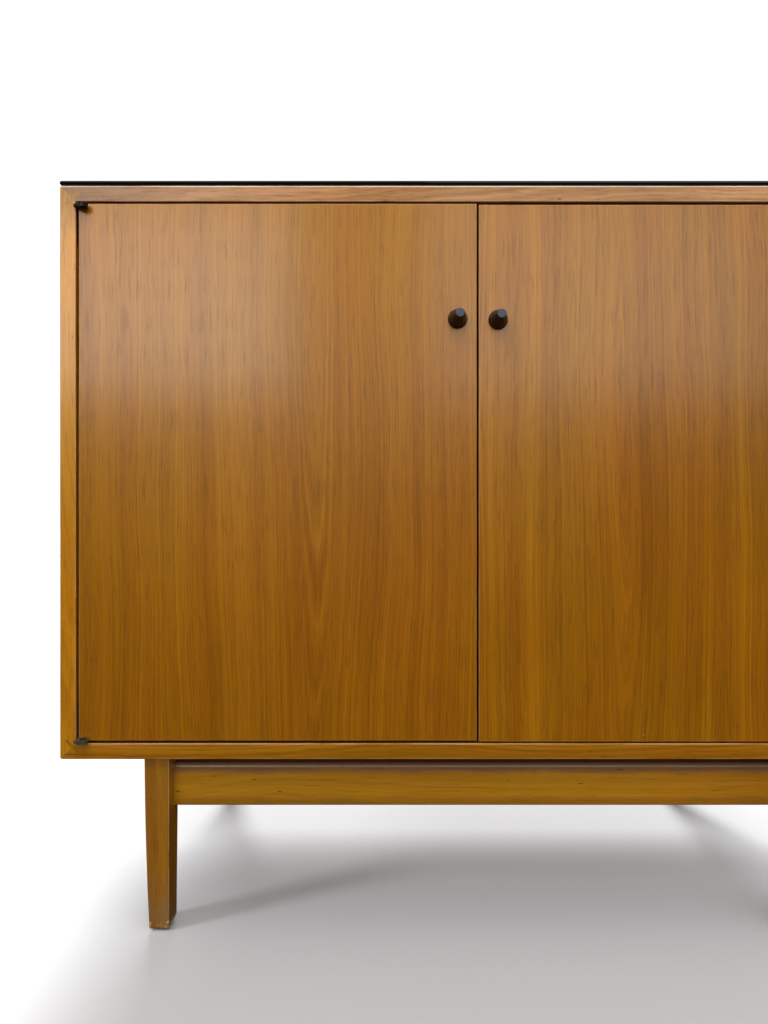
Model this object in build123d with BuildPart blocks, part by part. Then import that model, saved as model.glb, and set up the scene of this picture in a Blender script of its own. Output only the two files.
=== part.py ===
from build123d import *
import os
from math import sqrt

# A two-door walnut sideboard on a low leg frame. The case is four boards with splined mitres, the
# doors are inset and hang on offset pivot hinges, and a black glass sheet lies on top.
# The frame: +X to the right, -Y to the front, +Z up, origin under the middle of the whole object.

# ---------------------------------------------------------------- driving dimensions, mm
case_width, case_depth, case_height = 918.0, 457.0, 630.2
board = 17.5  # thickness of the four case boards
case_corner_radius = 2.4
case_arris = 1.2  # rounding of the boards' front edges
leg_height = 193.0  # floor to the underside of the case
overcut = 1.0  # how far a cutting shape runs past the face it starts from

spline_thickness, spline_length = 3.3, 20.0
spline_from_inside_corner = 5.0

rabbet_width, rabbet_depth = 9.0, 6.5
back_panel_thickness = 6.0
back_panel_clearance = 0.5
panel_screw_from_corner, panel_screw_from_middle = 20.0, 150.0

glass_thickness, glass_overhang = 4.8, 1.2  # it runs past each end of the case
glass_under_bevel, glass_top_bevel, glass_corner_radius = 2.2, 0.6, 3.2
glass_pad_radius, glass_pad_thickness = 6.0, 0.7
glass_pad_columns, glass_pad_rows = (-380.0, 0.0, 380.0), (-180.0, 180.0)  # from the middle

door_thickness, door_height = 19.0, 590.0
door_arris = 1.0
hinge_side_gap, seam_gap = 3.0, 2.0
left_door_lift, right_door_lift = 2.9, 1.8  # each door above the bottom board

pull_base_radius, pull_tip_radius, pull_projection = 10.65, 4.85, 28.8
pull_rim = 2.2
pull_facets = 12
slot_width, slot_depth = 0.8, 0.7  # of every slotted screw
pull_from_free_edge, pull_above_door_bottom = 21.2, 463.2
pull_tip_chamfer = 0.5
pull_screw_radius, pull_screw_reach = 2.0, 11.0
pull_screw_head_radius, pull_screw_head_height, pull_screw_head_rounding = 4.0, 2.2, 1.2

pivot_from_door_edge, pivot_in_front = 7.2, 6.5
knuckle_radius, tab_thickness, tab_running_gap = 5.5, 2.4, 0.4
arm_nose_in_front = 1.05  # how far the round nose of an arm starts in front of the door's face
hinge_pin_radius, hinge_pin_clearance = 2.0, 0.05
pin_head_radius, pin_head_height, pin_head_gap, pin_head_rounding = 3.2, 1.4, 0.3, 1.2
upper_hinge_height, lower_hinge_height = 798.85, 214.45  # the faces where the two tabs meet
leaf_length, leaf_thickness = 42.0, 2.0
leaf_front, leaf_back = 3.0, 16.5  # behind the front of the case
case_leaf_let_in = 1.6
arm_width = 3.1
hinge_screw_offsets = (12.0, 32.0)  # along the leaf, from its tab

shelf_thickness, shelf_edge_depth, shelf_edge_rounding = 16.0, 8.0, 1.5
shelf_height = 500.0  # underside of the shelf above the floor
shelf_side_gap, shelf_behind_doors, shelf_back_gap = 1.0, 30.0, 4.0
shelf_hole_radius, shelf_hole_depth, shelf_hole_pitch = 2.5, 10.0, 32.0
shelf_hole_steps = (-3, -2, -1, 0, 1, 2, 3)
shelf_hole_inset = 60.0
shelf_pin_reach, shelf_pin_spoon_width, shelf_pin_spoon_thickness = 10.0, 12.0, 1.5

leg_from_case_side, leg_from_case_front = 90.3, 8.0
leg_top_width, leg_top_depth = 27.3, 35.0
leg_outer_taper, leg_taper_at_middle = 5.6, 2.2
leg_middle_drop = 110.0
leg_back_taper = 5.0
leg_arris, foot_rounding = 1.2, 3.0
glide_radius, glide_thickness, glide_nail_radius, glide_nail_length = 8.0, 1.5, 1.2, 14.0

end_rail_bottom, end_rail_top, end_rail_thickness = 132.0, 179.5, 16.0
end_rail_behind_leg_front = 19.0
end_rail_top_arris, end_rail_low_arris = 5.0, 1.2
end_rail_tenon = (9.0, 7.0, 34.0)  # length, thickness, height
side_rail_height, side_rail_thickness = 43.0, 20.0
side_rail_tenon = (12.0, 8.0, 30.0)
corner_block_size, corner_block_height, corner_block_lift = 42.0, 24.0, 20.0
base_screw_radius, base_screw_head_radius, base_screw_length = 2.0, 4.0, 45.0
base_screw_counterbore, base_screw_head_height, base_screw_head_clearance = 8.0, 2.5, 0.3
base_screw_offsets = (-130.0, 0.0, 130.0)

catch_width, catch_depth, catch_height = 70.0, 15.0, 17.0
catch_ear, catch_ear_thickness, catch_ear_setback = 10.0, 2.5, 2.0
magnet_above_catch_bottom = 2.0
magnet_width, magnet_height, magnet_depth = 14.0, 7.0, 10.0
magnet_offset = 15.0
strike_width, strike_height, strike_thickness, strike_gap = 20.0, 16.0, 1.2, 0.5
strike_below_door_top, strike_screw_above_bottom = 5.0, 4.0

# ---------------------------------------------------------------- places worked out from them
half_width = case_width / 2
overall_depth = case_depth + pull_projection
front = pull_projection - overall_depth / 2  # the plane of the case front and the door faces
back = front + case_depth
middle_y = (front + back) / 2
case_bottom_z = leg_height
case_top_z = leg_height + case_height
case_middle_z = (case_bottom_z + case_top_z) / 2
inside_half_width = half_width - board
inside_bottom, inside_top = case_bottom_z + board, case_top_z - board
rabbet_front = back - rabbet_depth

door_outer_x = inside_half_width - hinge_side_gap
door_inner_x = seam_gap / 2
door_back = front + door_thickness
pivot_x = door_outer_x - pivot_from_door_edge
pivot_y = front - pivot_in_front
door_bottoms = {-1: inside_bottom + left_door_lift, 1: inside_bottom + right_door_lift}
hinge_heights = {1: upper_hinge_height, -1: lower_hinge_height}

shelf_front = door_back + shelf_behind_doors
shelf_back = rabbet_front - shelf_back_gap
shelf_pin_z = shelf_height - shelf_hole_radius
shelf_hole_heights = [shelf_pin_z + step * shelf_hole_pitch for step in shelf_hole_steps]
shelf_pin_rows = (door_back + shelf_hole_inset, back - shelf_hole_inset)

leg_outer_x = half_width - leg_from_case_side
leg_inner_x = leg_outer_x - leg_top_width
leg_front_y = front + leg_from_case_front
leg_back_y = leg_front_y + leg_top_depth
end_rail_front = leg_front_y + end_rail_behind_leg_front
end_rail_back = end_rail_front + end_rail_thickness
side_rail_x = (leg_outer_x + leg_inner_x) / 2
glide_x = leg_inner_x + (leg_top_width - leg_outer_taper) / 2
glide_y = leg_front_y + (leg_top_depth - leg_back_taper) / 2

catch_front = door_back + strike_thickness + strike_gap

left, right = -1, 1
top, bottom = 1, -1
side_names = {left: "left", right: "right"}
level_names = {top: "top", bottom: "bottom"}
on_end = (Align.CENTER, Align.CENTER, Align.MIN)  # a cylinder standing on its place

os.makedirs("parts", exist_ok=True)


def save(piece, label):
    """Names a finished piece and writes it."""
    piece.part.label = label
    export_step(piece.part, f"parts/{label}.step")


def slab(xs, ys, zs, mode=Mode.ADD):
    """A box between two limits on each axis, in the part being built."""
    middle = [(low + high) / 2 for low, high in (xs, ys, zs)]
    size = [abs(high - low) for low, high in (xs, ys, zs)]
    with Locations(tuple(middle)):
        Box(*size, mode=mode)


def both(distance):
    """The two X places at a distance from the middle."""
    return (-distance, distance)


# ---------------------------------------------------------------- fasteners used again and again
def countersunk_screw(head_radius, shank_radius, length):
    """A slotted countersunk screw: its head's flat is at Z = 0 and it points down."""
    head_depth = head_radius - shank_radius
    with BuildPart() as screw:
        with BuildSketch(Plane.XZ):
            Polygon(
                (0, 0),
                (head_radius, 0),
                (shank_radius, -head_depth),
                (shank_radius, -length + 2 * shank_radius),
                (0, -length),
                align=None,
            )
        revolve(axis=Axis.Z)
    with BuildPart() as slotted:
        add(screw.part)
        slab(both(head_radius), both(slot_width / 2), (-slot_depth, 0), mode=Mode.SUBTRACT)
    return screw.part, slotted.part


hinge_screw_bore, hinge_screw = countersunk_screw(3.0, 1.3, 12.0)
panel_screw_bore, panel_screw = countersunk_screw(3.4, 1.5, 20.0)
small_screw_bore, small_screw = countersunk_screw(2.4, 1.1, 9.0)


# ---------------------------------------------------------------- mitred case boards
def spline_places():
    """The four mitre splines, each across its mitre at 90 degrees and near the inside corner."""
    inset = spline_from_inside_corner / sqrt(2)
    return [
        Location(
            (side * (inside_half_width + inset), middle_y, corner_z + level * inset),
            (0, 45 * side * level, 0),
        )
        for level, corner_z in ((top, inside_top), (bottom, inside_bottom))
        for side in (left, right)
    ]


def board_section(*wedge):
    """One board's section: the case's ring, kept inside a wedge with its mitred ends."""
    with Locations((0, case_middle_z)):
        RectangleRounded(case_width, case_height, case_corner_radius)
        Rectangle(2 * inside_half_width, inside_top - inside_bottom, mode=Mode.SUBTRACT)
    Polygon(*wedge, align=None, mode=Mode.INTERSECT)


def cut_joinery():
    """The grooves for the mitre splines and the rabbet for the back panel."""
    with Locations(*spline_places()):
        Box(spline_length, case_depth + 2 * overcut, spline_thickness, mode=Mode.SUBTRACT)
    slab(
        both(inside_half_width + rabbet_width),
        (rabbet_front, back + overcut),
        (inside_bottom - rabbet_width, inside_top + rabbet_width),
        mode=Mode.SUBTRACT,
    )


def ease_front(piece, axis):
    """Rounds the two long front edges of a board."""
    fillet(piece.edges().filter_by(axis).group_by(Axis.Y)[0], radius=case_arris)


def back_screw_places():
    """Screws round the back panel: their heads are flush with its rear face."""
    edge = inside_half_width + rabbet_width / 2
    low, high = inside_bottom - rabbet_width / 2, inside_top + rabbet_width / 2
    rear = rabbet_front + back_panel_thickness
    across_places = (*both(edge - panel_screw_from_corner), *both(edge / 3))
    upright_places = [case_middle_z + step for step in both(panel_screw_from_middle)]
    across = [(x, z) for z in (low, high) for x in across_places]
    upright = [(x, z) for x in both(edge) for z in upright_places]
    return [Location((x, rear, z), (-90, 0, 0)) for x, z in across + upright]


def catch_screw_places():
    """Two screws up through the catch's ears into the top board."""
    z = inside_top - catch_ear_thickness
    y = catch_front + catch_depth / 2
    return [Location((x, y, z), (180, 0, 0)) for x in both((catch_width - catch_ear) / 2)]


def base_screw_places():
    """Screws up through the side rails into the case's bottom board, heads in their counterbores."""
    z = leg_height - side_rail_height + base_screw_counterbore
    return [(side * side_rail_x, middle_y + y, z) for side in (left, right) for y in base_screw_offsets]


mitre_reach = 3 * board
case_section = Plane.XZ.offset(-back)

with BuildPart() as case_top:
    with BuildSketch(case_section):
        board_section(
            (-half_width, case_top_z),
            (half_width, case_top_z),
            (half_width - mitre_reach, case_top_z - mitre_reach),
            (-half_width + mitre_reach, case_top_z - mitre_reach),
        )
    extrude(amount=case_depth)
    ease_front(case_top, Axis.X)
    cut_joinery()
    with Locations(*back_screw_places()):
        add(panel_screw_bore, mode=Mode.SUBTRACT)
    with Locations(*catch_screw_places()):
        add(small_screw_bore, mode=Mode.SUBTRACT)
save(case_top, "case_top")

with BuildPart() as case_bottom:
    with BuildSketch(case_section):
        board_section(
            (-half_width, case_bottom_z),
            (half_width, case_bottom_z),
            (half_width - mitre_reach, case_bottom_z + mitre_reach),
            (-half_width + mitre_reach, case_bottom_z + mitre_reach),
        )
    extrude(amount=case_depth)
    ease_front(case_bottom, Axis.X)
    cut_joinery()
    with Locations(*back_screw_places()):
        add(panel_screw_bore, mode=Mode.SUBTRACT)
    with Locations(*base_screw_places()):
        Cylinder(base_screw_radius, base_screw_length, align=on_end, mode=Mode.SUBTRACT)
save(case_bottom, "case_bottom")


# ---------------------------------------------------------------- offset pivot hinges
def tab_limits(level, owner):
    """The Z limits of a hinge tab: the case's tab is outside the meeting faces, the door's inside."""
    toward = level if owner == "case" else -level
    near = hinge_heights[level] + toward * tab_running_gap / 2
    return sorted((near, near + toward * tab_thickness))


def leaf_limits(level, owner):
    """The Z limits of a leaf: from the far face of its tab, towards the middle of the door."""
    low, high = tab_limits(level, owner)
    return (high - leaf_length, high) if level == top else (low, low + leaf_length)


def leaf_faces(side, owner):
    """The X of a leaf's let-in face and of its open face."""
    if owner == "case":
        buried = inside_half_width + case_leaf_let_in
        return side * buried, side * (buried - leaf_thickness)
    return side * (door_outer_x - leaf_thickness), side * door_outer_x


def arm_faces(side, owner):
    """The X limits of the arm that joins a leaf to its knuckle."""
    if owner == "case":
        buried = inside_half_width + case_leaf_let_in
        return side * buried, side * (buried - arm_width)
    return side * (door_outer_x - arm_width), side * door_outer_x


def hinge_screw_places(side, level, owner):
    """The two screws of a leaf, heads flush with its open face."""
    low, high = leaf_limits(level, owner)
    start = high if level == top else low
    face = leaf_faces(side, owner)[1]
    turn = -side if owner == "case" else side
    y = front + (leaf_front + leaf_back) / 2
    return [Location((face, y, start - level * step), (0, 90 * turn, 0)) for step in hinge_screw_offsets]


def cut_hinge_mortise(side, level, owner):
    """The recess for a leaf, the notch for its arm and the screws' pilot holes."""
    slab(leaf_faces(side, owner), (front + leaf_front, front + leaf_back), leaf_limits(level, owner),
         mode=Mode.SUBTRACT)
    slab(arm_faces(side, owner), (front - overcut, front + leaf_back), tab_limits(level, owner),
         mode=Mode.SUBTRACT)
    with Locations(*hinge_screw_places(side, level, owner)):
        add(hinge_screw_bore, mode=Mode.SUBTRACT)


def hinge_leaf(side, level, owner):
    """A leaf with its arm and knuckle; the pin's hole runs free in the door's, tight in the case's."""
    low, high = tab_limits(level, owner)
    arm_x = sum(arm_faces(side, owner)) / 2
    nose_y = front - arm_nose_in_front - arm_width / 2
    with BuildPart() as leaf:
        with BuildSketch(Plane.XY.offset(low)):
            with Locations((side * pivot_x, pivot_y)):
                Circle(knuckle_radius)
            with Locations((arm_x, nose_y)):
                Circle(arm_width / 2)
            make_hull()
            with Locations((arm_x, (nose_y + front + leaf_back) / 2)):
                Rectangle(arm_width, front + leaf_back - nose_y)
            with Locations((side * pivot_x, pivot_y)):
                Circle(hinge_pin_radius + (hinge_pin_clearance if owner == "door" else 0),
                       mode=Mode.SUBTRACT)
        extrude(amount=high - low)
        slab(leaf_faces(side, owner), (front + leaf_front, front + leaf_back), leaf_limits(level, owner))
        with Locations(*hinge_screw_places(side, level, owner)):
            add(hinge_screw_bore, mode=Mode.SUBTRACT)
    return leaf


def hinge_pin(level):
    """A pin riveted in the case's tab, with a domed head beyond the door's tab, on the Z axis."""
    case_low, case_high = tab_limits(level, "case")
    door_low, door_high = tab_limits(level, "door")
    far, near = (case_high, door_low) if level == top else (case_low, door_high)
    head = near - level * pin_head_gap
    tip = head - level * pin_head_height
    with BuildPart() as pin:
        with Locations((0, 0, min(far, tip))):
            Cylinder(hinge_pin_radius, abs(far - tip), align=on_end)
        with Locations((0, 0, min(head, tip))):
            Cylinder(pin_head_radius, pin_head_height, align=on_end)
        rim = pin.edges().filter_by(GeomType.CIRCLE).sort_by(Axis.Z)[0 if level == top else -1]
        fillet(rim, radius=pin_head_rounding)
    return pin.part


def case_side(side):
    """A side board with its joinery, hinge mortises and two rows of shelf holes."""
    outer, inner = side * half_width, side * (half_width - mitre_reach)
    with BuildPart() as side_board:
        with BuildSketch(case_section):
            board_section(
                (outer, case_top_z),
                (outer, case_bottom_z),
                (inner, case_bottom_z + mitre_reach),
                (inner, case_top_z - mitre_reach),
            )
        extrude(amount=case_depth)
        ease_front(side_board, Axis.Z)
        cut_joinery()
        with Locations(*back_screw_places()):
            add(panel_screw_bore, mode=Mode.SUBTRACT)
        for level in (top, bottom):
            cut_hinge_mortise(side, level, "case")
        with Locations(*[
            Location((side * inside_half_width, y, z), (0, 90 * side, 0))
            for y in shelf_pin_rows for z in shelf_hole_heights
        ]):
            Cylinder(shelf_hole_radius, 2 * shelf_hole_depth, mode=Mode.SUBTRACT)
    return side_board


for side in (left, right):
    save(case_side(side), f"case_side_{side_names[side]}")

with BuildPart() as mitre_splines:
    with Locations(*spline_places()):
        Box(spline_length, case_depth, spline_thickness)
    slab(both(half_width), (rabbet_front, back + overcut),
         (inside_bottom - rabbet_width, inside_top + rabbet_width), mode=Mode.SUBTRACT)
save(mitre_splines, "mitre_splines")

with BuildPart() as back_panel:
    panel_low, panel_high = inside_bottom - rabbet_width, inside_top + rabbet_width
    slab(
        both(inside_half_width + rabbet_width - back_panel_clearance),
        (rabbet_front, rabbet_front + back_panel_thickness),
        (panel_low + back_panel_clearance, panel_high - back_panel_clearance),
    )
    with Locations(*back_screw_places()):
        add(panel_screw_bore, mode=Mode.SUBTRACT)
save(back_panel, "back_panel")

with BuildPart() as back_panel_screws:
    with Locations(*back_screw_places()):
        add(panel_screw)
save(back_panel_screws, "back_panel_screws")

for side in (left, right):
    for level in (top, bottom):
        place = f"{side_names[side]}_{level_names[level]}"
        save(hinge_leaf(side, level, "case"), f"hinge_case_leaf_{place}")

with BuildPart() as hinge_pins:
    for level in (top, bottom):
        with Locations(*[(x, pivot_y) for x in both(pivot_x)]):
            add(hinge_pin(level))
save(hinge_pins, "hinge_pins")

with BuildPart() as hinge_case_screws:
    for side in (left, right):
        for level in (top, bottom):
            with Locations(*hinge_screw_places(side, level, "case")):
                add(hinge_screw)
save(hinge_case_screws, "hinge_case_screws")

# ---------------------------------------------------------------- glass top on small clear pads
glass_underside = case_top_z + glass_pad_thickness
glass_pad_places = [(x, middle_y + y) for x in glass_pad_columns for y in glass_pad_rows]

with BuildPart() as glass_pads:
    with BuildSketch(Plane.XY.offset(case_top_z)):
        with Locations(*glass_pad_places):
            Circle(glass_pad_radius)
    extrude(amount=glass_pad_thickness)
save(glass_pads, "glass_pads")

with BuildPart() as glass_top:
    with BuildSketch(Plane.XY.offset(glass_underside)):
        with Locations((0, middle_y)):
            RectangleRounded(case_width + 2 * glass_overhang, case_depth, glass_corner_radius)
    extrude(amount=glass_thickness)
    chamfer(glass_top.faces().sort_by(Axis.Z)[0].edges(), length=glass_under_bevel)
    chamfer(glass_top.faces().sort_by(Axis.Z)[-1].edges(), length=glass_top_bevel)
save(glass_top, "glass_top")

# ---------------------------------------------------------------- adjustable shelf
with BuildPart() as shelf:
    slab(
        both(inside_half_width - shelf_side_gap),
        (shelf_front + shelf_edge_depth, shelf_back),
        (shelf_height, shelf_height + shelf_thickness),
    )
save(shelf, "shelf")

with BuildPart() as shelf_edge:
    slab(
        both(inside_half_width - shelf_side_gap),
        (shelf_front, shelf_front + shelf_edge_depth),
        (shelf_height, shelf_height + shelf_thickness),
    )
    fillet(shelf_edge.edges().filter_by(Axis.X).group_by(Axis.Y)[0], radius=shelf_edge_rounding)
save(shelf_edge, "shelf_edge")

with BuildPart() as shelf_pins:
    for side in (left, right):
        with Locations(*[
            Location((side * inside_half_width, y, shelf_pin_z), (0, 90 * side, 0)) for y in shelf_pin_rows
        ]):
            Cylinder(shelf_hole_radius, shelf_hole_depth, align=on_end)
        for y in shelf_pin_rows:
            slab(
                (side * inside_half_width, side * (inside_half_width - shelf_pin_reach)),
                (y - shelf_pin_spoon_width / 2, y + shelf_pin_spoon_width / 2),
                (shelf_height - shelf_pin_spoon_thickness, shelf_height),
            )
save(shelf_pins, "shelf_pins")

# ---------------------------------------------------------------- double magnetic catch
def magnet_limits(x):
    """The limits of the magnet centred at an X place, its face flush with the catch's front."""
    low = inside_top - catch_height + magnet_above_catch_bottom
    return (
        (x - magnet_width / 2, x + magnet_width / 2),
        (catch_front, catch_front + magnet_depth),
        (low, low + magnet_height),
    )


with BuildPart() as catch_housing:
    slab(both(catch_width / 2 - catch_ear), (catch_front, catch_front + catch_depth),
         (inside_top - catch_height, inside_top))
    slab(both(catch_width / 2),
         (catch_front + catch_ear_setback, catch_front + catch_depth - catch_ear_setback),
         (inside_top - catch_ear_thickness, inside_top))
    for x in both(magnet_offset):
        slab(*magnet_limits(x), mode=Mode.SUBTRACT)
    with Locations(*catch_screw_places()):
        add(small_screw_bore, mode=Mode.SUBTRACT)
save(catch_housing, "catch_housing")

with BuildPart() as catch_magnets:
    for x in both(magnet_offset):
        slab(*magnet_limits(x))
save(catch_magnets, "catch_magnets")

with BuildPart() as catch_screws:
    with Locations(*catch_screw_places()):
        add(small_screw)
save(catch_screws, "catch_screws")


# ---------------------------------------------------------------- leg frame
def tenon(size, axis, at, mode):
    """A rail's tenon, centred on a point of the rail's end line."""
    length, thickness, height = size
    box = (2 * length, thickness, height) if axis == "x" else (thickness, 2 * length, height)
    with Locations(at):
        Box(*box, mode=mode)


def rail_tenon_places(side, end):
    """Where the end rail's and the side rail's tenons meet a leg."""
    rail_y, leg_face = (end_rail_front + end_rail_back) / 2, leg_back_y
    if end > 0:
        rail_y, leg_face = 2 * middle_y - rail_y, 2 * middle_y - leg_face
    end_rail_at = (side * leg_inner_x, rail_y, (end_rail_bottom + end_rail_top) / 2)
    side_rail_at = (side * side_rail_x, leg_face, leg_height - side_rail_height / 2)
    return end_rail_at, side_rail_at


def turned_about(shape, side, end):
    """A front right piece, mirrored to the left side or to the rear where that is its place."""
    if side == left:
        shape = shape.mirror(Plane.YZ)
    if end > 0:
        shape = shape.mirror(Plane.XZ.offset(-middle_y))
    with BuildPart() as piece:
        add(shape)
    return piece


def leg(side, end):
    """A leg: its outer side curves in towards the foot, its inner side is straight and its inner
    face leans a little towards the foot. It stands on a glide."""
    outer_middle = leg_outer_x - leg_taper_at_middle
    outer_foot = leg_outer_x - leg_outer_taper
    with BuildPart() as post:
        with BuildSketch(Plane.XZ.offset(-leg_back_y)):
            with BuildLine():
                Polyline((outer_foot, glide_thickness), (leg_inner_x, glide_thickness),
                         (leg_inner_x, leg_height), (leg_outer_x, leg_height))
                ThreePointArc((leg_outer_x, leg_height), (outer_middle, leg_height - leg_middle_drop),
                              (outer_foot, glide_thickness))
            make_face()
        extrude(amount=leg_top_depth)
        with BuildSketch(Plane.YZ.offset(leg_inner_x - overcut)):
            Polygon(
                (leg_back_y, end_rail_bottom),
                (leg_back_y - leg_back_taper, 0),
                (leg_back_y + overcut, 0),
                (leg_back_y + overcut, end_rail_bottom),
                align=None,
            )
        extrude(amount=leg_top_width + 2 * overcut, mode=Mode.SUBTRACT)
        fillet(post.faces().sort_by(Axis.Z)[0].edges(), radius=foot_rounding)
        fillet(post.faces().sort_by(Axis.Y)[0].edges().filter_by(Axis.Z), radius=leg_arris)
        with Locations((glide_x, glide_y, glide_thickness)):
            Cylinder(glide_nail_radius, glide_nail_length, align=on_end, mode=Mode.SUBTRACT)
        for size, axis, at in zip((end_rail_tenon, side_rail_tenon), "xy", rail_tenon_places(right, -1)):
            tenon(size, axis, at, Mode.SUBTRACT)
    return turned_about(post.part, side, end)


def end_rail(end):
    """The rail between two legs, tenoned into both, with its upper front edge well rounded."""
    with BuildPart() as rail:
        slab(both(leg_inner_x), (end_rail_front, end_rail_back), (end_rail_bottom, end_rail_top))
        high_edge = rail.edges().filter_by(Axis.X).group_by(Axis.Y)[0].sort_by(Axis.Z)[-1]
        fillet(high_edge, radius=end_rail_top_arris)
        low_edge = rail.edges().filter_by(Axis.X).group_by(Axis.Y)[0].sort_by(Axis.Z)[0]
        fillet(low_edge, radius=end_rail_low_arris)
        for side in (left, right):
            tenon(end_rail_tenon, "x", rail_tenon_places(side, -1)[0], Mode.ADD)
    return turned_about(rail.part, right, end)


def side_rail(side):
    """The rail along one end of the case, screwed up into its bottom board."""
    low_z = leg_height - side_rail_height
    with BuildPart() as rail:
        slab(
            [side * (side_rail_x + step) for step in both(side_rail_thickness / 2)],
            (leg_back_y, 2 * middle_y - leg_back_y),
            (low_z, leg_height),
        )
        for end in (-1, 1):
            tenon(side_rail_tenon, "y", rail_tenon_places(side, end)[1], Mode.ADD)
        with Locations(*[(x, y, low_z) for x, y, z in base_screw_places() if x * side > 0]):
            Cylinder(base_screw_radius, side_rail_height + overcut, align=on_end, mode=Mode.SUBTRACT)
            Cylinder(base_screw_head_radius, base_screw_counterbore, align=on_end, mode=Mode.SUBTRACT)
    return rail


for side in (left, right):
    for end, end_name in ((-1, "front"), (1, "rear")):
        save(leg(side, end), f"leg_{end_name}_{side_names[side]}")
    save(side_rail(side), f"side_rail_{side_names[side]}")
save(end_rail(-1), "front_rail")
save(end_rail(1), "rear_rail")

with BuildPart() as corner_blocks:
    inner_side_x = side_rail_x - side_rail_thickness / 2
    with BuildSketch(Plane.XY.offset(end_rail_bottom + corner_block_lift)):
        Polygon(
            (leg_inner_x, end_rail_back),
            (leg_inner_x - corner_block_size, end_rail_back),
            (inner_side_x, end_rail_back + corner_block_size),
            (inner_side_x, leg_back_y),
            (leg_inner_x, leg_back_y),
            align=None,
        )
    extrude(amount=corner_block_height)
    mirror(about=Plane.YZ)
    mirror(about=Plane.XZ.offset(-middle_y))
save(corner_blocks, "corner_blocks")

with BuildPart() as base_screws:
    with Locations(*base_screw_places()):
        Cylinder(base_screw_radius, base_screw_length, align=on_end)
        Cylinder(base_screw_head_radius - base_screw_head_clearance, base_screw_head_height,
                 align=(Align.CENTER, Align.CENTER, Align.MAX))
save(base_screws, "base_screws")

with BuildPart() as foot_glides:
    with Locations(*[(x, y) for x in both(glide_x) for y in (glide_y, 2 * middle_y - glide_y)]):
        Cylinder(glide_radius, glide_thickness, align=on_end)
        Cylinder(glide_nail_radius, glide_thickness + glide_nail_length, align=on_end)
save(foot_glides, "foot_glides")


# ---------------------------------------------------------------- doors
def pull():
    """A faceted cone on a round base rim, along -Y from the door's face at the origin."""
    with BuildPart() as knob:
        with BuildSketch(Plane.XZ):
            Circle(pull_base_radius)
        extrude(amount=pull_rim)
        with BuildSketch(Plane.XZ.offset(pull_rim)):
            RegularPolygon(pull_base_radius, pull_facets)
        with BuildSketch(Plane.XZ.offset(pull_projection)):
            RegularPolygon(pull_tip_radius, pull_facets)
        loft()
        chamfer(knob.faces().sort_by(Axis.Y)[0].edges(), length=pull_tip_chamfer)
        with Locations(Location((0, 0, 0), (90, 0, 0))):
            Cylinder(pull_screw_radius, 2 * pull_screw_reach, mode=Mode.SUBTRACT)
    return knob.part


def pull_screw():
    """A pan-head screw through the door into the pull, along -Y from the pull's seat."""
    with BuildPart() as screw:
        with Locations(Location((0, -pull_screw_reach, 0), (-90, 0, 0))):
            Cylinder(pull_screw_radius, pull_screw_reach + door_thickness, align=on_end)
        with Locations(Location((0, door_thickness, 0), (-90, 0, 0))):
            Cylinder(pull_screw_head_radius, pull_screw_head_height, align=on_end)
        fillet(screw.edges().sort_by(Axis.Y)[-1], radius=pull_screw_head_rounding)
        head_top = door_thickness + pull_screw_head_height
        slab(both(pull_screw_head_radius), (head_top - slot_depth, head_top), both(slot_width / 2),
             mode=Mode.SUBTRACT)
    return screw.part


def strike_limits(side, door_top):
    """The limits of the steel strike plate on the door's back, facing its magnet."""
    x = side * magnet_offset
    high = door_top - strike_below_door_top
    return (
        (x - strike_width / 2, x + strike_width / 2),
        (door_back, door_back + strike_thickness),
        (high - strike_height, high),
    )


def strike_screw_place(side, door_top):
    """The strike plate's screw, head flush with the plate."""
    z = door_top - strike_below_door_top - strike_height + strike_screw_above_bottom
    return Location((side * magnet_offset, door_back + strike_thickness, z), (-90, 0, 0))


for side in (left, right):
    name = side_names[side]
    door_bottom = door_bottoms[side]
    door_top = door_bottom + door_height
    pull_x = side * (door_inner_x + pull_from_free_edge)
    pull_z = door_bottom + pull_above_door_bottom

    with BuildPart() as door:
        slab((side * door_inner_x, side * door_outer_x), (front, door_back), (door_bottom, door_top))
        fillet(door.faces().sort_by(Axis.Y)[0].edges(), radius=door_arris)
        for level in (top, bottom):
            cut_hinge_mortise(side, level, "door")
        with Locations(Location((pull_x, front, pull_z), (90, 0, 0))):
            Cylinder(pull_screw_radius, 3 * door_thickness, mode=Mode.SUBTRACT)
        with Locations(strike_screw_place(side, door_top)):
            add(small_screw_bore, mode=Mode.SUBTRACT)
    save(door, f"door_{name}")

    with BuildPart() as knob:
        with Locations((pull_x, front, pull_z)):
            add(pull())
    save(knob, f"pull_{name}")

    with BuildPart() as knob_screw:
        with Locations((pull_x, front, pull_z)):
            add(pull_screw())
    save(knob_screw, f"pull_screw_{name}")

    for level in (top, bottom):
        save(hinge_leaf(side, level, "door"), f"hinge_door_leaf_{name}_{level_names[level]}")

    with BuildPart() as door_screws:
        for level in (top, bottom):
            with Locations(*hinge_screw_places(side, level, "door")):
                add(hinge_screw)
    save(door_screws, f"hinge_door_screws_{name}")

    with BuildPart() as strike:
        slab(*strike_limits(side, door_top))
        with Locations(strike_screw_place(side, door_top)):
            add(small_screw_bore, mode=Mode.SUBTRACT)
    save(strike, f"strike_plate_{name}")

    with BuildPart() as strike_screw:
        with Locations(strike_screw_place(side, door_top)):
            add(small_screw)
    save(strike_screw, f"strike_screw_{name}")
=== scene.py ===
from math import pi, radians

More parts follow.
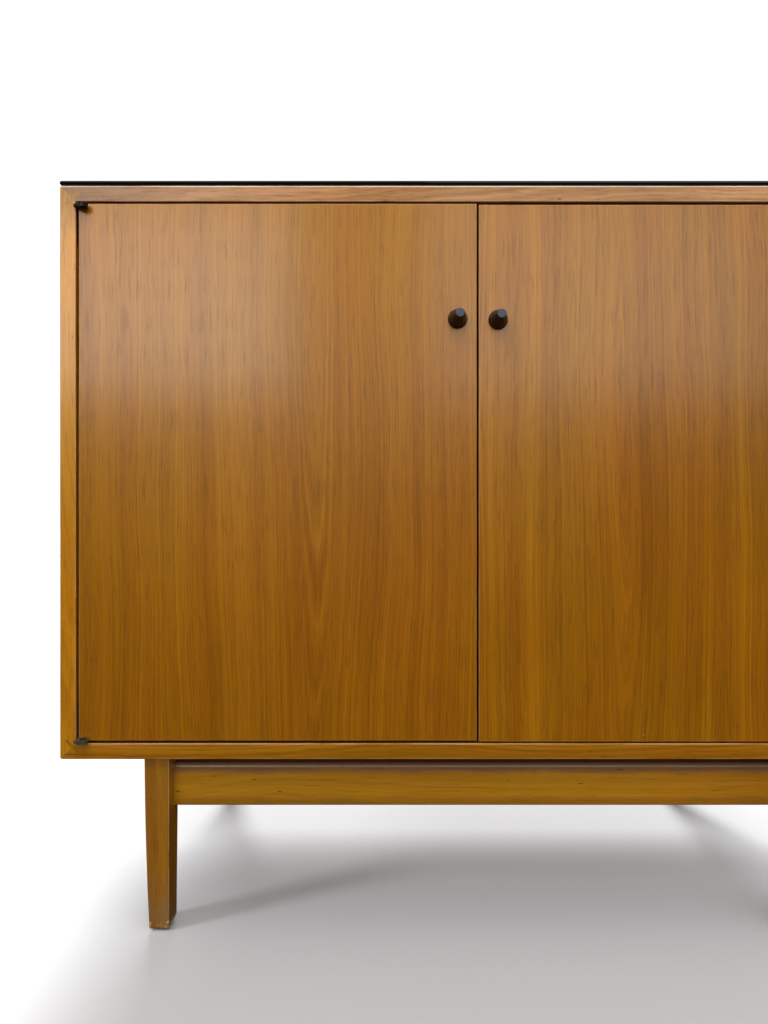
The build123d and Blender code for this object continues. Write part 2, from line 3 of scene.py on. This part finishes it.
import bpy
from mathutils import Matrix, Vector


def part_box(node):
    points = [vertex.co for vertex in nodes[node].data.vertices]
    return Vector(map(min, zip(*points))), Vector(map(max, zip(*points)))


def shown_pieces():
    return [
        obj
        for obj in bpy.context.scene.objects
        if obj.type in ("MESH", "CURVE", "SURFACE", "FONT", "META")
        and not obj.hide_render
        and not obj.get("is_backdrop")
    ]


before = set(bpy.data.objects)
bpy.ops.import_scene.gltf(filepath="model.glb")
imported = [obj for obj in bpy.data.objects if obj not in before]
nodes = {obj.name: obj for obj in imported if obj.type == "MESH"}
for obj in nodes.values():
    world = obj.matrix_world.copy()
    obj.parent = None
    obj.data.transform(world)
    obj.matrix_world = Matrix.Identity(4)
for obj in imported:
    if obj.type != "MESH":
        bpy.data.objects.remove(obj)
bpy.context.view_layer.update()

# The finishes, studio and camera of a two-door walnut sideboard. All sizes are in metres, with +X to
# the right, -Y to the front and +Z up.

scene = bpy.context.scene


# ---------------------------------------------------------------- shorthand for material nodes
class Graph:
    """A material that is being wired up. Values are numbers, colours or output sockets."""

    def __init__(self, name):
        self.material = bpy.data.materials.new(name)
        self.material.use_nodes = True
        self.tree = self.material.node_tree
        self.shader = self.tree.nodes["Principled BSDF"]
        place = self.tree.nodes.new("ShaderNodeTexCoord").outputs["Object"]
        split = self.tree.nodes.new("ShaderNodeSeparateXYZ")
        self.tree.links.new(place, split.inputs[0])
        self.axes = dict(zip("xyz", split.outputs))

    def put(self, socket, value):
        if isinstance(value, bpy.types.NodeSocket):
            self.tree.links.new(value, socket)
        else:
            socket.default_value = value

    def set(self, **values):
        """Sets sockets of the shader, with underscores for the spaces in their names."""
        for name, value in values.items():
            self.put(self.shader.inputs[name.replace("_", " ")], value)

    def math(self, operation, *values):
        node = self.tree.nodes.new("ShaderNodeMath")
        node.operation = operation
        for socket, value in zip(node.inputs, values):
            self.put(socket, value)
        return node.outputs[0]

    def total(self, first, *rest):
        for value in rest:
            first = self.math("ADD", first, value)
        return first

    def times(self, first, second):
        return self.math("MULTIPLY", first, second)

    def centred(self, value, gain):
        """A noise value moved to lie about zero and scaled."""
        return self.math("MULTIPLY_ADD", value, gain, -0.5 * gain)

    def smooth(self, value, low, high, start=0.0, end=1.0):
        node = self.tree.nodes.new("ShaderNodeMapRange")
        node.interpolation_type = "SMOOTHSTEP"
        for socket, number in zip(node.inputs, (value, low, high, start, end)):
            self.put(socket, number)
        return node.outputs[0]

    def noise(self, places, rates, seed, detail, roughness=0.5):
        """Noise with its own rate along each of three coordinates, in features per metre."""
        vector = self.tree.nodes.new("ShaderNodeCombineXYZ")
        for socket, place, rate in zip(vector.inputs, places, rates):
            self.put(socket, self.math("MULTIPLY_ADD", place, rate, seed))
        node = self.tree.nodes.new("ShaderNodeTexNoise")
        for name, value in (
            ("Vector", vector.outputs[0]), ("Scale", 1.0), ("Detail", detail), ("Roughness", roughness),
        ):
            self.put(node.inputs[name], value)
        return node.outputs["Fac"]

    def noise_line(self, distance, rate, seed, detail):
        """Noise along one distance only, which makes lines where the distance is the same."""
        node = self.tree.nodes.new("ShaderNodeTexNoise")
        node.noise_dimensions = "1D"
        self.put(node.inputs["W"], self.math("MULTIPLY_ADD", distance, rate, seed))
        self.put(node.inputs["Scale"], 1.0)
        self.put(node.inputs["Detail"], detail)
        return node.outputs["Fac"]

    def ramp(self, value, *stops):
        node = self.tree.nodes.new("ShaderNodeValToRGB")
        marks = node.color_ramp.elements
        while len(marks) < len(stops):
            marks.new(0.5)
        for mark, (position, colour) in zip(marks, stops):
            mark.position = position
            mark.color = (*colour, 1.0)
        self.put(node.inputs[0], value)
        return node.outputs[0]

    def mix(self, factor, first, second, blend="MIX"):
        node = self.tree.nodes.new("ShaderNodeMix")
        node.data_type = "RGBA"
        node.blend_type = blend
        first, second = [(*c, 1.0) if isinstance(c, tuple) else c for c in (first, second)]
        self.put(node.inputs[0], factor)
        self.put(node.inputs[6], first)
        self.put(node.inputs[7], second)
        return node.outputs[2]

    def bump(self, height, distance):
        node = self.tree.nodes.new("ShaderNodeBump")
        self.put(node.inputs["Height"], height)
        node.inputs["Distance"].default_value = distance
        self.put(self.shader.inputs["Normal"], node.outputs[0])

    def edge_mask(self, node_name, width, wobble):
        """1 on the outer edges of a node's box, falling to 0 over a width that the wobble varies."""
        low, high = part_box(node_name)
        near = []
        for axis, a, b in zip("xyz", low, high):
            place = self.axes[axis]
            from_low, from_high = self.math("SUBTRACT", place, a), self.math("SUBTRACT", b, place)
            near.append(self.math("MINIMUM", from_low, from_high))
        x, y, z = near
        second = self.math(
            "MAXIMUM", self.math("MINIMUM", x, y),
            self.math("MINIMUM", self.math("MAXIMUM", x, y), z),
        )
        return self.smooth(self.math("ADD", second, wobble), 0.0, width, 1.0, 0.0)


# ---------------------------------------------------------------- wood
amber = ((0.160, 0.047, 0.0004), (0.268, 0.096, 0.0008), (0.380, 0.156, 0.0022))
stile_tan = ((0.250, 0.078, 0.0010), (0.420, 0.165, 0.0030), (0.560, 0.250, 0.0120))
board_tan = ((0.170, 0.054, 0.0008), (0.290, 0.110, 0.0020), (0.450, 0.200, 0.0100))
base_brown = ((0.150, 0.050, 0.0010), (0.270, 0.106, 0.0028), (0.370, 0.162, 0.0080))
top_rose = ((0.165, 0.055, 0.010), (0.275, 0.118, 0.032), (0.410, 0.205, 0.078))
rail_gold = ((0.230, 0.086, 0.0010), (0.390, 0.162, 0.0030), (0.500, 0.235, 0.0110))
birch = ((0.290, 0.165, 0.075), (0.430, 0.265, 0.135), (0.540, 0.360, 0.205))
pine = ((0.330, 0.190, 0.080), (0.500, 0.320, 0.155), (0.620, 0.430, 0.240))
bare_wood = (0.560, 0.330, 0.170)
chipped_wood = (0.52, 0.45, 0.34)
pale_nick = (0.72, 0.50, 0.30)
door_nick = (0.70, 0.50, 0.30)
old_dust = (0.205, 0.120, 0.050)
dark_speck = (0.05, 0.022, 0.006)
dark_dent = (0.060, 0.020, 0.004)
amber_dent = (0.10, 0.032, 0.001)
# partly wear and partly a painted highlight, for the top board's upper arris
arris_wear_and_highlight = (0.80, 0.62, 0.46)
# painted shade with a cool painted reflection, for the front rail's upper edge under the case
painted_shade_and_sheen = (0.120, 0.060, 0.048)
brown_band = (0.130, 0.055, 0.010)
dull_end, pale_end, dull_corner = (0.66, 0.72, 0.95), (1.40, 1.50, 2.0), (0.70, 0.74, 1.60)  # factors
lacquer_tint = (1.0, 0.78, 0.42, 1.0)

arch_taper = 0.05  # how much a distance along a board counts for the figure, beside one across it
grain_relief = 0.00012


def wood(
    name, along, across, heart, tones, seed,
    solid=0.0, line=230.0, contrast=1.0, worn=None, worn_width=0.0012, worn_amount=0.5,
    coat=1.0, coat_roughness=0.17, roughness=0.30, tinting=1.0, extra=None,
):
    """Lacquered wood: bands and lines nest round the heart of the board and run along the grain.

    along and across name the axes of the grain; heart is the place across and along where the
    figure's arches centre; solid carries the rings through the thickness; worn names the node
    whose outer edges are worn; tinting is how much the patches of pinker and greener hue show."""
    g = Graph(name)
    through = next(axis for axis in "xyz" if axis not in along + across)
    u, v, w = g.axes[across], g.axes[along], g.axes[through]

    drift = g.noise((u, v, w), (3.6, 1.3, 3.6), seed, 2.0)
    ripple = g.noise((u, v, w), (40.0, 34.0, 40.0), seed + 3.0, 3.0, 0.6)
    bent = g.total(u, g.centred(drift, 0.065), g.centred(ripple, 0.0022))
    from_heart = g.math("SUBTRACT", bent, heart[0])
    along_heart = g.times(g.math("SUBTRACT", v, heart[1]), arch_taper)
    squares = g.total(g.times(from_heart, from_heart), g.times(along_heart, along_heart))
    if solid:
        depth = g.math("ADD", w, solid)
        squares = g.math("ADD", squares, g.times(depth, depth))
    ring = g.math("SQRT", squares)

    broad = g.noise((bent, v, w), (26.0, 1.3, 26.0), seed + 7.0, 3.0, 0.55)
    patch = g.noise((u, v, w), (5.0, 3.0, 5.0), seed + 11.0, 2.0)
    bands = g.noise_line(ring, line * 0.20, seed, 2.0)
    lines = g.noise_line(ring, line * 1.75, seed + 5.0, 3.0)
    hairs = g.noise((bent, v, w), (340.0, 8.0, 340.0), seed + 2.0, 3.0, 0.75)
    hue = g.noise((bent, v, w), (16.0, 3.0, 16.0), seed + 13.0, 2.0)
    flecks = g.noise((bent, v, w), (590.0, 27.0, 590.0), seed + 9.0, 1.0)

    tone = g.total(
        0.5,
        g.centred(broad, 0.50 * contrast),
        g.centred(patch, 0.34 * contrast),
        g.centred(bands, 0.34 * contrast),
        g.centred(lines, 0.52 * contrast),
        g.centred(hairs, 0.42 * contrast),
    )
    dark, middle, light = tones
    colour = g.ramp(tone, (0.12, dark), (0.50, middle), (0.88, light))
    pores = g.smooth(g.math("ADD", flecks, g.centred(bands, 0.16)), 0.35, 0.43, 1.0, 0.0)
    colour = g.mix(g.times(pores, 0.31 * contrast), colour, tuple(0.7 * c for c in dark))
    tint = g.ramp(hue, (0.30, (1.0, 0.90, 1.0)), (0.70, (0.95, 1.0, 0.8)))
    colour = g.mix(tinting, colour, tint, "MULTIPLY")
    shine = g.total(roughness, g.centred(broad, 0.10), g.times(pores, 0.12))
    if worn:
        chafe = g.noise((u, v, w), (60.0, 22.0, 60.0), seed + 1.0, 3.0, 0.6)
        edge = g.edge_mask(worn, worn_width, g.centred(chafe, worn_width * 1.6))
        rub = g.times(g.times(edge, worn_amount), g.smooth(chafe, 0.34, 0.62))
        colour = g.mix(rub, colour, bare_wood)
        shine = g.total(shine, g.times(rub, 0.2))
    if extra:
        colour = extra(g, colour, (u, v, w), seed)
    height = g.total(g.centred(hairs, 0.35), g.times(pores, -0.5), g.times(ripple, 1.2))
    g.bump(height, grain_relief)
    g.set(
        Base_Color=colour, Roughness=shine, Coat_Weight=coat, Coat_Roughness=coat_roughness,
        Coat_IOR=1.43, IOR=1.5, Specular_IOR_Level=0.50, Specular_Tint=lacquer_tint,
    )
    return g.material


def wear_foot(g, colour, places, seed):
    """Scuffs, chips and a dusty bloom towards the floor on a leg."""
    height = g.axes["z"]
    low = g.smooth(height, 0.004, 0.085, 1.0, 0.0)
    rub = g.noise(places, (70.0, 30.0, 70.0), seed + 20.0, 4.0, 0.7)
    bloom = g.times(low, g.smooth(rub, 0.35, 0.70, 0.15, 0.75))
    colour = g.mix(bloom, colour, old_dust)
    foot = g.smooth(height, 0.006, 0.024, 0.30, 0.0)
    chip = g.noise(places, (150.0, 95.0, 150.0), seed + 31.0, 5.0, 0.75)
    chipped = g.smooth(g.math("ADD", chip, foot), 0.84, 0.87)
    colour = g.mix(g.times(chipped, g.smooth(height, 0.020, 0.030, 0.9, 0.0)), colour, chipped_wood)
    speck = g.noise(places, (420.0, 300.0, 420.0), seed + 37.0, 1.0)
    return g.mix(g.smooth(speck, 0.76, 0.80, 0.0, 0.7), colour, dark_speck)


def knocks(g, colour, places, seed):
    """Small dark dents and short bright nicks on the solid edges."""
    dent = g.noise(places, (240.0, 70.0, 240.0), seed + 41.0, 1.0)
    colour = g.mix(g.smooth(dent, 0.74, 0.79, 0.0, 0.8), colour, dark_dent)
    nick = g.noise(places, (300.0, 120.0, 300.0), seed + 47.0, 1.0)
    return g.mix(g.smooth(nick, 0.84, 0.88, 0.0, 0.6), colour, pale_nick)


def door_marks(g, colour, places, seed):
    """The sparse pale nicks and dull dents of a used door."""
    nick = g.noise(places, (330.0, 130.0, 330.0), seed + 51.0, 1.0)
    colour = g.mix(g.smooth(nick, 0.845, 0.87, 0.0, 0.5), colour, door_nick)
    dent = g.noise(places, (150.0, 60.0, 150.0), seed + 57.0, 1.0)
    return g.mix(g.smooth(dent, 0.82, 0.86, 0.0, 0.45), colour, amber_dent)


def washed(g, where, colour, factors):
    """A colour multiplied by three factors where a mask says so."""
    return g.mix(where, colour, g.mix(1.0, colour, factors, "MULTIPLY"))


def top_board(g, colour, places, seed):
    """Duller and pinker at the left end, paler at the right, with a pale upper arris that is partly
    rubbed wear and partly a painted highlight.
    """
    x, z = g.axes["x"], g.axes["z"]
    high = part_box("case_top")[1].z
    colour = washed(g, g.smooth(x, -0.45, -0.22, 1.0, 0.0), colour, dull_end)
    colour = washed(g, g.smooth(x, 0.17, 0.32), colour, pale_end)
    wander = g.noise(places, (60.0, 9.0, 60.0), seed + 61.0, 2.0)
    # partly wear and partly a painted highlight: a pale line along the upper arris, under the glass
    arris = g.smooth(z, high - 0.0020, high - 0.0009)
    colour = g.mix(g.times(arris, g.smooth(wander, 0.30, 0.60, 0.25, 0.75)), colour, arris_wear_and_highlight)
    return knocks(g, colour, places, seed)


def stile_marks(g, colour, places, seed):
    """A side board, duller and pinker in its mitred top corner."""
    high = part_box("case_side_left")[1].z
    corner = g.smooth(g.axes["z"], high - 0.060, high - 0.016)
    return knocks(g, washed(g, corner, colour, dull_corner), places, seed)


def rail_painted_shade_and_marks(g, colour, places, seed):
    """A darker, purplish rounded upper edge, which is painted shade from the case above with a cool
    painted reflection in it, and a browner lower edge.
    """
    z = g.axes["z"]
    low, high = (corner.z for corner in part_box("front_rail"))
    mottle = g.noise(places, (55.0, 20.0, 55.0), seed + 71.0, 4.0, 0.65)
    level = g.math("ADD", z, g.centred(mottle, 0.008))
    # painted shade and painted reflection: a darker, purplish band along the top, where the case above
    # shades the rail
    band = g.smooth(level, high - 0.0145, high - 0.0040, 0.0, 0.80)
    colour = g.mix(band, colour, painted_shade_and_sheen)
    foot = g.smooth(level, low + 0.004, low + 0.013, 0.45, 0.0)
    colour = g.mix(foot, colour, brown_band)
    return knocks(g, colour, places, seed)


def finish(material, *names):
    """Gives CAD nodes a material."""
    for name in names:
        for slot in nodes[name].material_slots:
            slot.material = material


finish(wood("door_veneer_left", "z", "x", (-0.172, 0.74), amber, 2.3, worn="door_left",
            worn_width=0.0016, worn_amount=0.45, extra=door_marks), "door_left")
finish(wood("door_veneer_right", "z", "x", (0.150, 0.62), amber, 9.1, worn="door_right",
            worn_width=0.0016, worn_amount=0.45, extra=door_marks), "door_right")
finish(wood("board_top", "x", "y", (0.05, 0.1), top_rose, 4.4, solid=-0.74, line=330.0, contrast=1.25,
            worn="case_top", worn_width=0.0022, worn_amount=0.7, extra=top_board), "case_top")
finish(wood("board_bottom", "x", "y", (-0.04, -0.2), board_tan, 14.7, solid=-0.28, line=330.0,
            worn="case_bottom", worn_width=0.0022, worn_amount=0.7, extra=knocks), "case_bottom")
for place, seed in (("left", 21.5), ("right", 27.2)):
    finish(wood(f"board_side_{place}", "z", "y", (0.03, 0.45), stile_tan, seed,
                solid=0.52 if place == "left" else -0.52, line=330.0,
                worn=f"case_side_{place}", worn_width=0.0020, worn_amount=0.5, extra=stile_marks),
           f"case_side_{place}")
finish(wood("spline", "y", "x", (0.0, 0.0), base_brown, 33.0, line=500.0), "mitre_splines")
for number, place in enumerate(("front_left", "front_right", "rear_left", "rear_right")):
    name = f"leg_{place}"
    finish(wood(name, "z", "x", (0.0, 0.3), base_brown, 40.0 + 3.7 * number, solid=0.02, line=380.0,
                worn=name, worn_width=0.0016, worn_amount=0.7, coat_roughness=0.32, roughness=0.46,
                extra=wear_foot), name)
for number, name in enumerate(("front_rail", "rear_rail")):
    finish(wood(name, "x", "y", (0.0, 0.0), rail_gold, 60.0 + 5.1 * number, solid=-0.25, line=300.0,
                worn=name, coat_roughness=0.30, extra=rail_painted_shade_and_marks), name)
for number, name in enumerate(("side_rail_left", "side_rail_right")):
    finish(wood(name, "y", "x", (0.0, 0.0), base_brown, 70.0 + 4.3 * number, solid=-0.10, line=300.0,
                worn=name, coat_roughness=0.34, roughness=0.5), name)
finish(wood("shelf_veneer", "x", "y", (0.02, 0.1), board_tan, 80.2, worn="shelf"), "shelf")
finish(wood("shelf_lipping", "x", "y", (0.3, 0.0), stile_tan, 83.0, solid=-0.4, line=330.0,
            worn="shelf_edge"), "shelf_edge")
finish(wood("birch_ply", "z", "x", (0.1, 0.2), birch, 90.4, contrast=0.7, coat=0.25,
            coat_roughness=0.45, roughness=0.58, tinting=0.25), "back_panel")
finish(wood("block_pine", "z", "x", (0.05, 0.2), pine, 95.1, line=260.0, contrast=0.9, coat=0.0,
            roughness=0.66, tinting=0.25), "corner_blocks")


# ---------------------------------------------------------------- glass, plastic and metal
def surface(name, colour, marks, roughness, bump=0.00002, rate=180.0, tip=None, **settings):
    """A mottled, slightly uneven finish: marks is the second colour, mixed in by noise, and tip is a
    Y place and the colour painted in front of it, a painted reflection on the flat end of a pull."""
    g = Graph(name)
    places = tuple(g.axes.values())
    cloud = g.noise(places, (rate, rate, rate), 3.1, 4.0, 0.6)
    grit = g.noise(places, (8.0 * rate, 8.0 * rate, 8.0 * rate), 7.7, 2.0)
    colour = g.mix(g.smooth(cloud, 0.40, 0.68), colour, marks)
    # painted reflection: the flat end in front of the tip place takes the colour of the light it
    # mirrors
    if tip:
        place, tip_reflection = tip
        wavering = g.math("ADD", g.axes["y"], g.centred(cloud, 0.0012))
        end = g.smooth(wavering, place, place + 0.0007, 1.0, 0.0)
        colour = g.mix(end, colour, tip_reflection)
    g.set(
        Base_Color=colour,
        Roughness=g.total(roughness, g.centred(cloud, 0.16), g.centred(grit, 0.06)),
        **settings,
    )
    g.bump(g.total(cloud, g.times(grit, 0.4)), bump)
    return g.material


finish(surface("black_glass", (0.0022, 0.0024, 0.0026), (0.0034, 0.0036, 0.0040), 0.07,
               bump=0.000001, rate=9.0, Specular_IOR_Level=0.22), "glass_top")
finish(surface("clear_pad", (0.62, 0.63, 0.62), (0.52, 0.53, 0.52), 0.22, Transmission_Weight=0.6,
               Specular_IOR_Level=0.5), "glass_pads")
# painted reflection: the bluish grey of the pulls' flat ends
painted_tip_reflection = (0.062, 0.068, 0.084)
finish(surface("pull_black", (0.0034, 0.0022, 0.0040), (0.0120, 0.0075, 0.0120), 0.34,
               rate=420.0, tip=(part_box("pull_left")[0].y + 0.0003, painted_tip_reflection),
               Specular_IOR_Level=0.20, Specular_Tint=(0.55, 0.60, 1.0, 1.0)),
       "pull_left", "pull_right")
# Lit and shaded copies of one bronze: the top leaves and the pins keep a near-black copy, painted shade
# for the top hinges seen from below, and the bottom leaves get a lighter copy, painted light for their
# upper faces.
finish(surface("hinge_bronze", (0.010, 0.008, 0.006), (0.034, 0.030, 0.024), 0.30,
               rate=260.0, Metallic=0.75),
       *[name for name in nodes if "_leaf_" in name and name.endswith("top")], "hinge_pins")
# painted light: the lighter bronze of the bottom leaves' lit upper faces
finish(surface("hinge_bronze_painted_lit", (0.150, 0.120, 0.080), (0.070, 0.056, 0.036), 0.42,
               rate=260.0, Metallic=0.55),
       *[name for name in nodes if "_leaf_" in name and name.endswith("bottom")])
finish(surface("screw_brass", (0.560, 0.380, 0.150), (0.300, 0.190, 0.080), 0.34, Metallic=1.0),
       "hinge_case_screws", "hinge_door_screws_left", "hinge_door_screws_right", "shelf_pins")
finish(surface("screw_steel", (0.420, 0.420, 0.430), (0.250, 0.240, 0.230), 0.36, Metallic=1.0),
       "back_panel_screws", "base_screws", "catch_screws", "strike_screw_left", "strike_screw_right",
       "pull_screw_left", "pull_screw_right", "foot_glides")
finish(surface("catch_plastic", (0.075, 0.040, 0.020), (0.095, 0.054, 0.030), 0.44), "catch_housing")
finish(surface("magnet", (0.060, 0.060, 0.064), (0.085, 0.083, 0.084), 0.5, Metallic=0.4),
       "catch_magnets")
finish(surface("strike_steel", (0.520, 0.510, 0.500), (0.360, 0.350, 0.335), 0.32, Metallic=1.0),
       "strike_plate_left", "strike_plate_right")


# ---------------------------------------------------------------- camera
front_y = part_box("door_left")[0].y
eye_across, eye_distance, eye_height = -0.103, 0.814, 0.4647
camera_data = bpy.data.cameras.new("camera")
camera_data.lens = 26.06  # millimetres, like the sensor's width
camera_data.sensor_width = 36.0
camera_data.clip_start, camera_data.clip_end = 0.01, 60.0
camera = bpy.data.objects.new("camera", camera_data)
camera.location = (eye_across, front_y - eye_distance, eye_height)
camera.rotation_euler = (pi / 2, 0.0, 0.0)
scene.collection.objects.link(camera)
scene.camera = camera


# ---------------------------------------------------------------- studio
def plane(name, size, height):
    """A level square about the origin."""
    mesh = bpy.data.meshes.new(name)
    half = size / 2
    corners = [(x * half, y * half, height) for x, y in ((-1, -1), (1, -1), (1, 1), (-1, 1))]
    mesh.from_pydata(corners, [], [(0, 1, 2, 3)])
    sheet = bpy.data.objects.new(name, mesh)
    scene.collection.objects.link(sheet)
    sheet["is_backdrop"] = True
    return sheet


floor_size, floor_height = 40.0, -0.0004  # just under the feet, so that no faces share a plane
floor = plane("floor", floor_size, floor_height)
paint = bpy.data.materials.new("floor_paint")
paint.use_nodes = True
for socket, value in (
    ("Base Color", (0.86, 0.86, 0.87, 1.0)), ("Roughness", 0.9), ("Specular IOR Level", 0.1),
):
    paint.node_tree.nodes["Principled BSDF"].inputs[socket].default_value = value
floor.data.materials.append(paint)
floor.visible_glossy = False
floor.visible_diffuse = False

on_floor = bpy.data.collections.new("lit_floor")
on_floor.objects.link(floor)
on_object = bpy.data.collections.new("lit_object")
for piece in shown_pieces():
    on_object.objects.link(piece)


def softbox(name, place, aim, size, radiance, mirrored=True):
    """A rectangular light of a given radiance that shines on the object only; mirrored says
    whether the object's finishes reflect it."""
    data = bpy.data.lights.new(name, "AREA")
    data.shape = "RECTANGLE"
    data.size, data.size_y = size
    data.energy = radiance * pi * size[0] * size[1]
    lamp = bpy.data.objects.new(name, data)
    lamp.location = place
    lamp.rotation_euler = (Vector(aim) - Vector(place)).to_track_quat("-Z", "Y").to_euler()
    lamp.visible_camera = False
    lamp.visible_glossy = mirrored
    scene.collection.objects.link(lamp)
    lamp.light_linking.receiver_collection = on_object


def sun(name, toward, width, strength):
    """A soft distant light from a direction, on the floor only; width is its angle in degrees."""
    data = bpy.data.lights.new(name, "SUN")
    data.angle = radians(width)
    data.energy = strength
    lamp = bpy.data.objects.new(name, data)
    lamp.rotation_euler = (-Vector(toward)).to_track_quat("-Z", "Y").to_euler()
    lamp.visible_glossy = False
    scene.collection.objects.link(lamp)
    lamp.light_linking.receiver_collection = on_floor


# On the object: two wide cards in front, which its lacquer mirrors above eye level, and lights that
# it doesn't mirror: a key above, a fill in front, a low one on the leg and two from behind.
softbox("card_left", (-2.0, -4.5, 1.97), (-2.0, 0.0, 1.97), (2.5, 1.35), 3.3)
softbox("card_right", (1.40, -4.5, 2.02), (1.40, 0.0, 2.02), (2.4, 1.5), 1.7)
softbox("key", (-0.27, -1.05, 1.60), (-0.03, -0.20, 0.55), (1.4, 0.6), 5.4, mirrored=False)
softbox("fill", (-0.3, -3.0, 0.95), (-0.1, 0.0, 0.40), (2.0, 1.2), 3.05, mirrored=False)
softbox("low_right", (1.6, -0.5, 0.13), (-0.30, -0.20, 0.10), (0.5, 0.25), 11.0, mirrored=False)
softbox("back_left", (-2.2, 2.4, 1.8), (0.0, 0.0, 0.45), (1.8, 1.8), 3.4, mirrored=False)
softbox("back_right", (2.6, 1.6, 1.6), (0.0, 0.0, 0.45), (1.8, 1.8), 2.8, mirrored=False)

# On the floor: a soft light from behind, one from above and a low one from the left.
sun("floor_rear", (-0.12, 1.0, 0.56), 24.0, 5.0)
sun("floor_above", (0.0, -0.45, 1.0), 60.0, 0.55)
sun("floor_low", (-1.0, -0.50, 0.52), 12.0, 0.9)

world = bpy.data.worlds.new("studio")
world.use_nodes = True
scene.world = world
tree = world.node_tree
tree.nodes.clear()
direction = tree.nodes.new("ShaderNodeTexCoord").outputs["Generated"]
split = tree.nodes.new("ShaderNodeSeparateXYZ")
tree.links.new(direction, split.inputs[0])
path = tree.nodes.new("ShaderNodeLightPath")


curve_ceiling = 4.0  # the strength that the top of the curve of the air stands for


def air(low, high, zenith):
    """Light from all round: its strength below the horizon, above it, and overhead. The curve holds
    values up to 1, so the strengths are divided by its ceiling and multiplied again after it."""
    ramp = tree.nodes.new("ShaderNodeFloatCurve")
    curve = ramp.mapping.curves[0].points
    for rise, level in ((0.00, low), (0.22, high), (0.50, high), (0.80, zenith)):
        curve.new((rise + 1.0) / 2.0, level / curve_ceiling)
    curve[0].location, curve[-1].location = (0.0, low / curve_ceiling), (1.0, zenith / curve_ceiling)
    for point in curve:
        point.handle_type = "AUTO_CLAMPED"
    ramp.mapping.update()
    turn = tree.nodes.new("ShaderNodeMath")  # from -1 to 1 into 0 to 1
    turn.operation = "MULTIPLY_ADD"
    turn.inputs[1].default_value = turn.inputs[2].default_value = 0.5
    tree.links.new(split.outputs["Z"], turn.inputs[0])
    tree.links.new(turn.outputs[0], ramp.inputs["Value"])
    raised = tree.nodes.new("ShaderNodeMath")
    raised.operation = "MULTIPLY"
    raised.inputs[1].default_value = curve_ceiling
    tree.links.new(ramp.outputs[0], raised.inputs[0])
    background = tree.nodes.new("ShaderNodeBackground")
    background.inputs["Color"].default_value = (1.0, 1.0, 1.0, 1.0)
    tree.links.new(raised.outputs[0], background.inputs["Strength"])
    return background.outputs[0]


def choose(ray, no, yes):
    """One light for a kind of ray and another for the rest."""
    mixer = tree.nodes.new("ShaderNodeMixShader")
    tree.links.new(path.outputs[ray], mixer.inputs[0])
    tree.links.new(no, mixer.inputs[1])
    tree.links.new(yes, mixer.inputs[2])
    return mixer.outputs[0]


around = choose("Is Glossy Ray", air(0.20, 0.36, 0.50), air(0.0, 0.45, 2.40))
around = choose("Is Camera Ray", around, air(1.05, 1.05, 1.05))
out = tree.nodes.new("ShaderNodeOutputWorld")
tree.links.new(around, out.inputs["Surface"])

scene.view_settings.view_transform = "Standard"
scene.view_settings.look = "None"
scene.cycles.use_denoising = True
scene.cycles.max_bounces = 8
